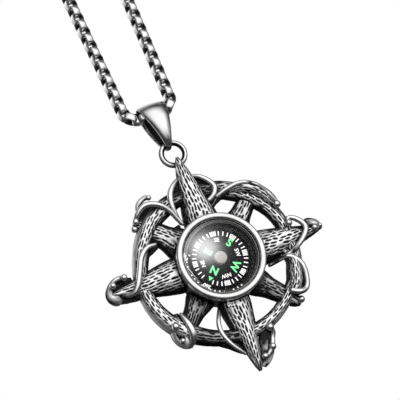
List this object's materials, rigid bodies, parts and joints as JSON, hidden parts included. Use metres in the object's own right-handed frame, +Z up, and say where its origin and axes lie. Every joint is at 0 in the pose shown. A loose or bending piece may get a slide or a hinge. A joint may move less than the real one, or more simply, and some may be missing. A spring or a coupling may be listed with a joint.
{
  "type": "compass pendant on a necklace chain",
  "caption": "Cast steel star-and-wheel pendant with a turning compass card, hung by a ring and tapered bail from a round box chain.",
  "frame": {"origin": "where a peg or a neck carries the chain: inside the top of the chain's loop", "axes": "+Z up, along the hanging loop; the pendant's face looks towards -Y; +X to the right seen from the front"},
  "size_m": [0.0587, 0.0109, 0.3611],
  "materials": {
    "cast_steel": "cast stainless steel, blackened and wiped bright",
    "bright_steel": "turned and polished stainless steel",
    "chain_steel": "polished stainless steel wire, darkened between the links",
    "case_plastic": "black moulded plastic with white printed degree marks",
    "card_face": "black printed disc, white and green marks",
    "card_cap": "bright spun cap",
    "pin_brass": "turned",
    "clear_cover": "clear moulded acrylic"
  },
  "bodies": {
    "necklace": {"chain": "chain_steel", "clasp": "chain_steel"},
    "bail": {"bail": "bright_steel"},
    "pendant": {"star": "cast_steel", "bezel": "bright_steel", "capsule": "case_plastic", "pivot_pin": "pin_brass", "window": "clear_cover"},
    "card": {"card": "card_face", "card_hub": "card_cap"}
  },
  "joints": [
    {"name": "bail_swing", "type": "hinge", "parent": "necklace", "child": "bail", "pos_m": [0, 0, -0.28595], "axis": [1, 0, 0], "range_deg": [-60, 60]},
    {"name": "pendant_swing", "type": "hinge", "parent": "bail", "child": "pendant", "pos_m": [0.0013, 0, -0.29467], "axis": [1, 0, 0], "range_deg": [-45, 45]},
    {"name": "card_spin", "type": "hinge", "parent": "pendant", "child": "card", "pos_m": [0.00011, -0.00324, -0.32886], "axis": [-0.0348, -0.9971, -0.068], "continuous": true}
  ]
}
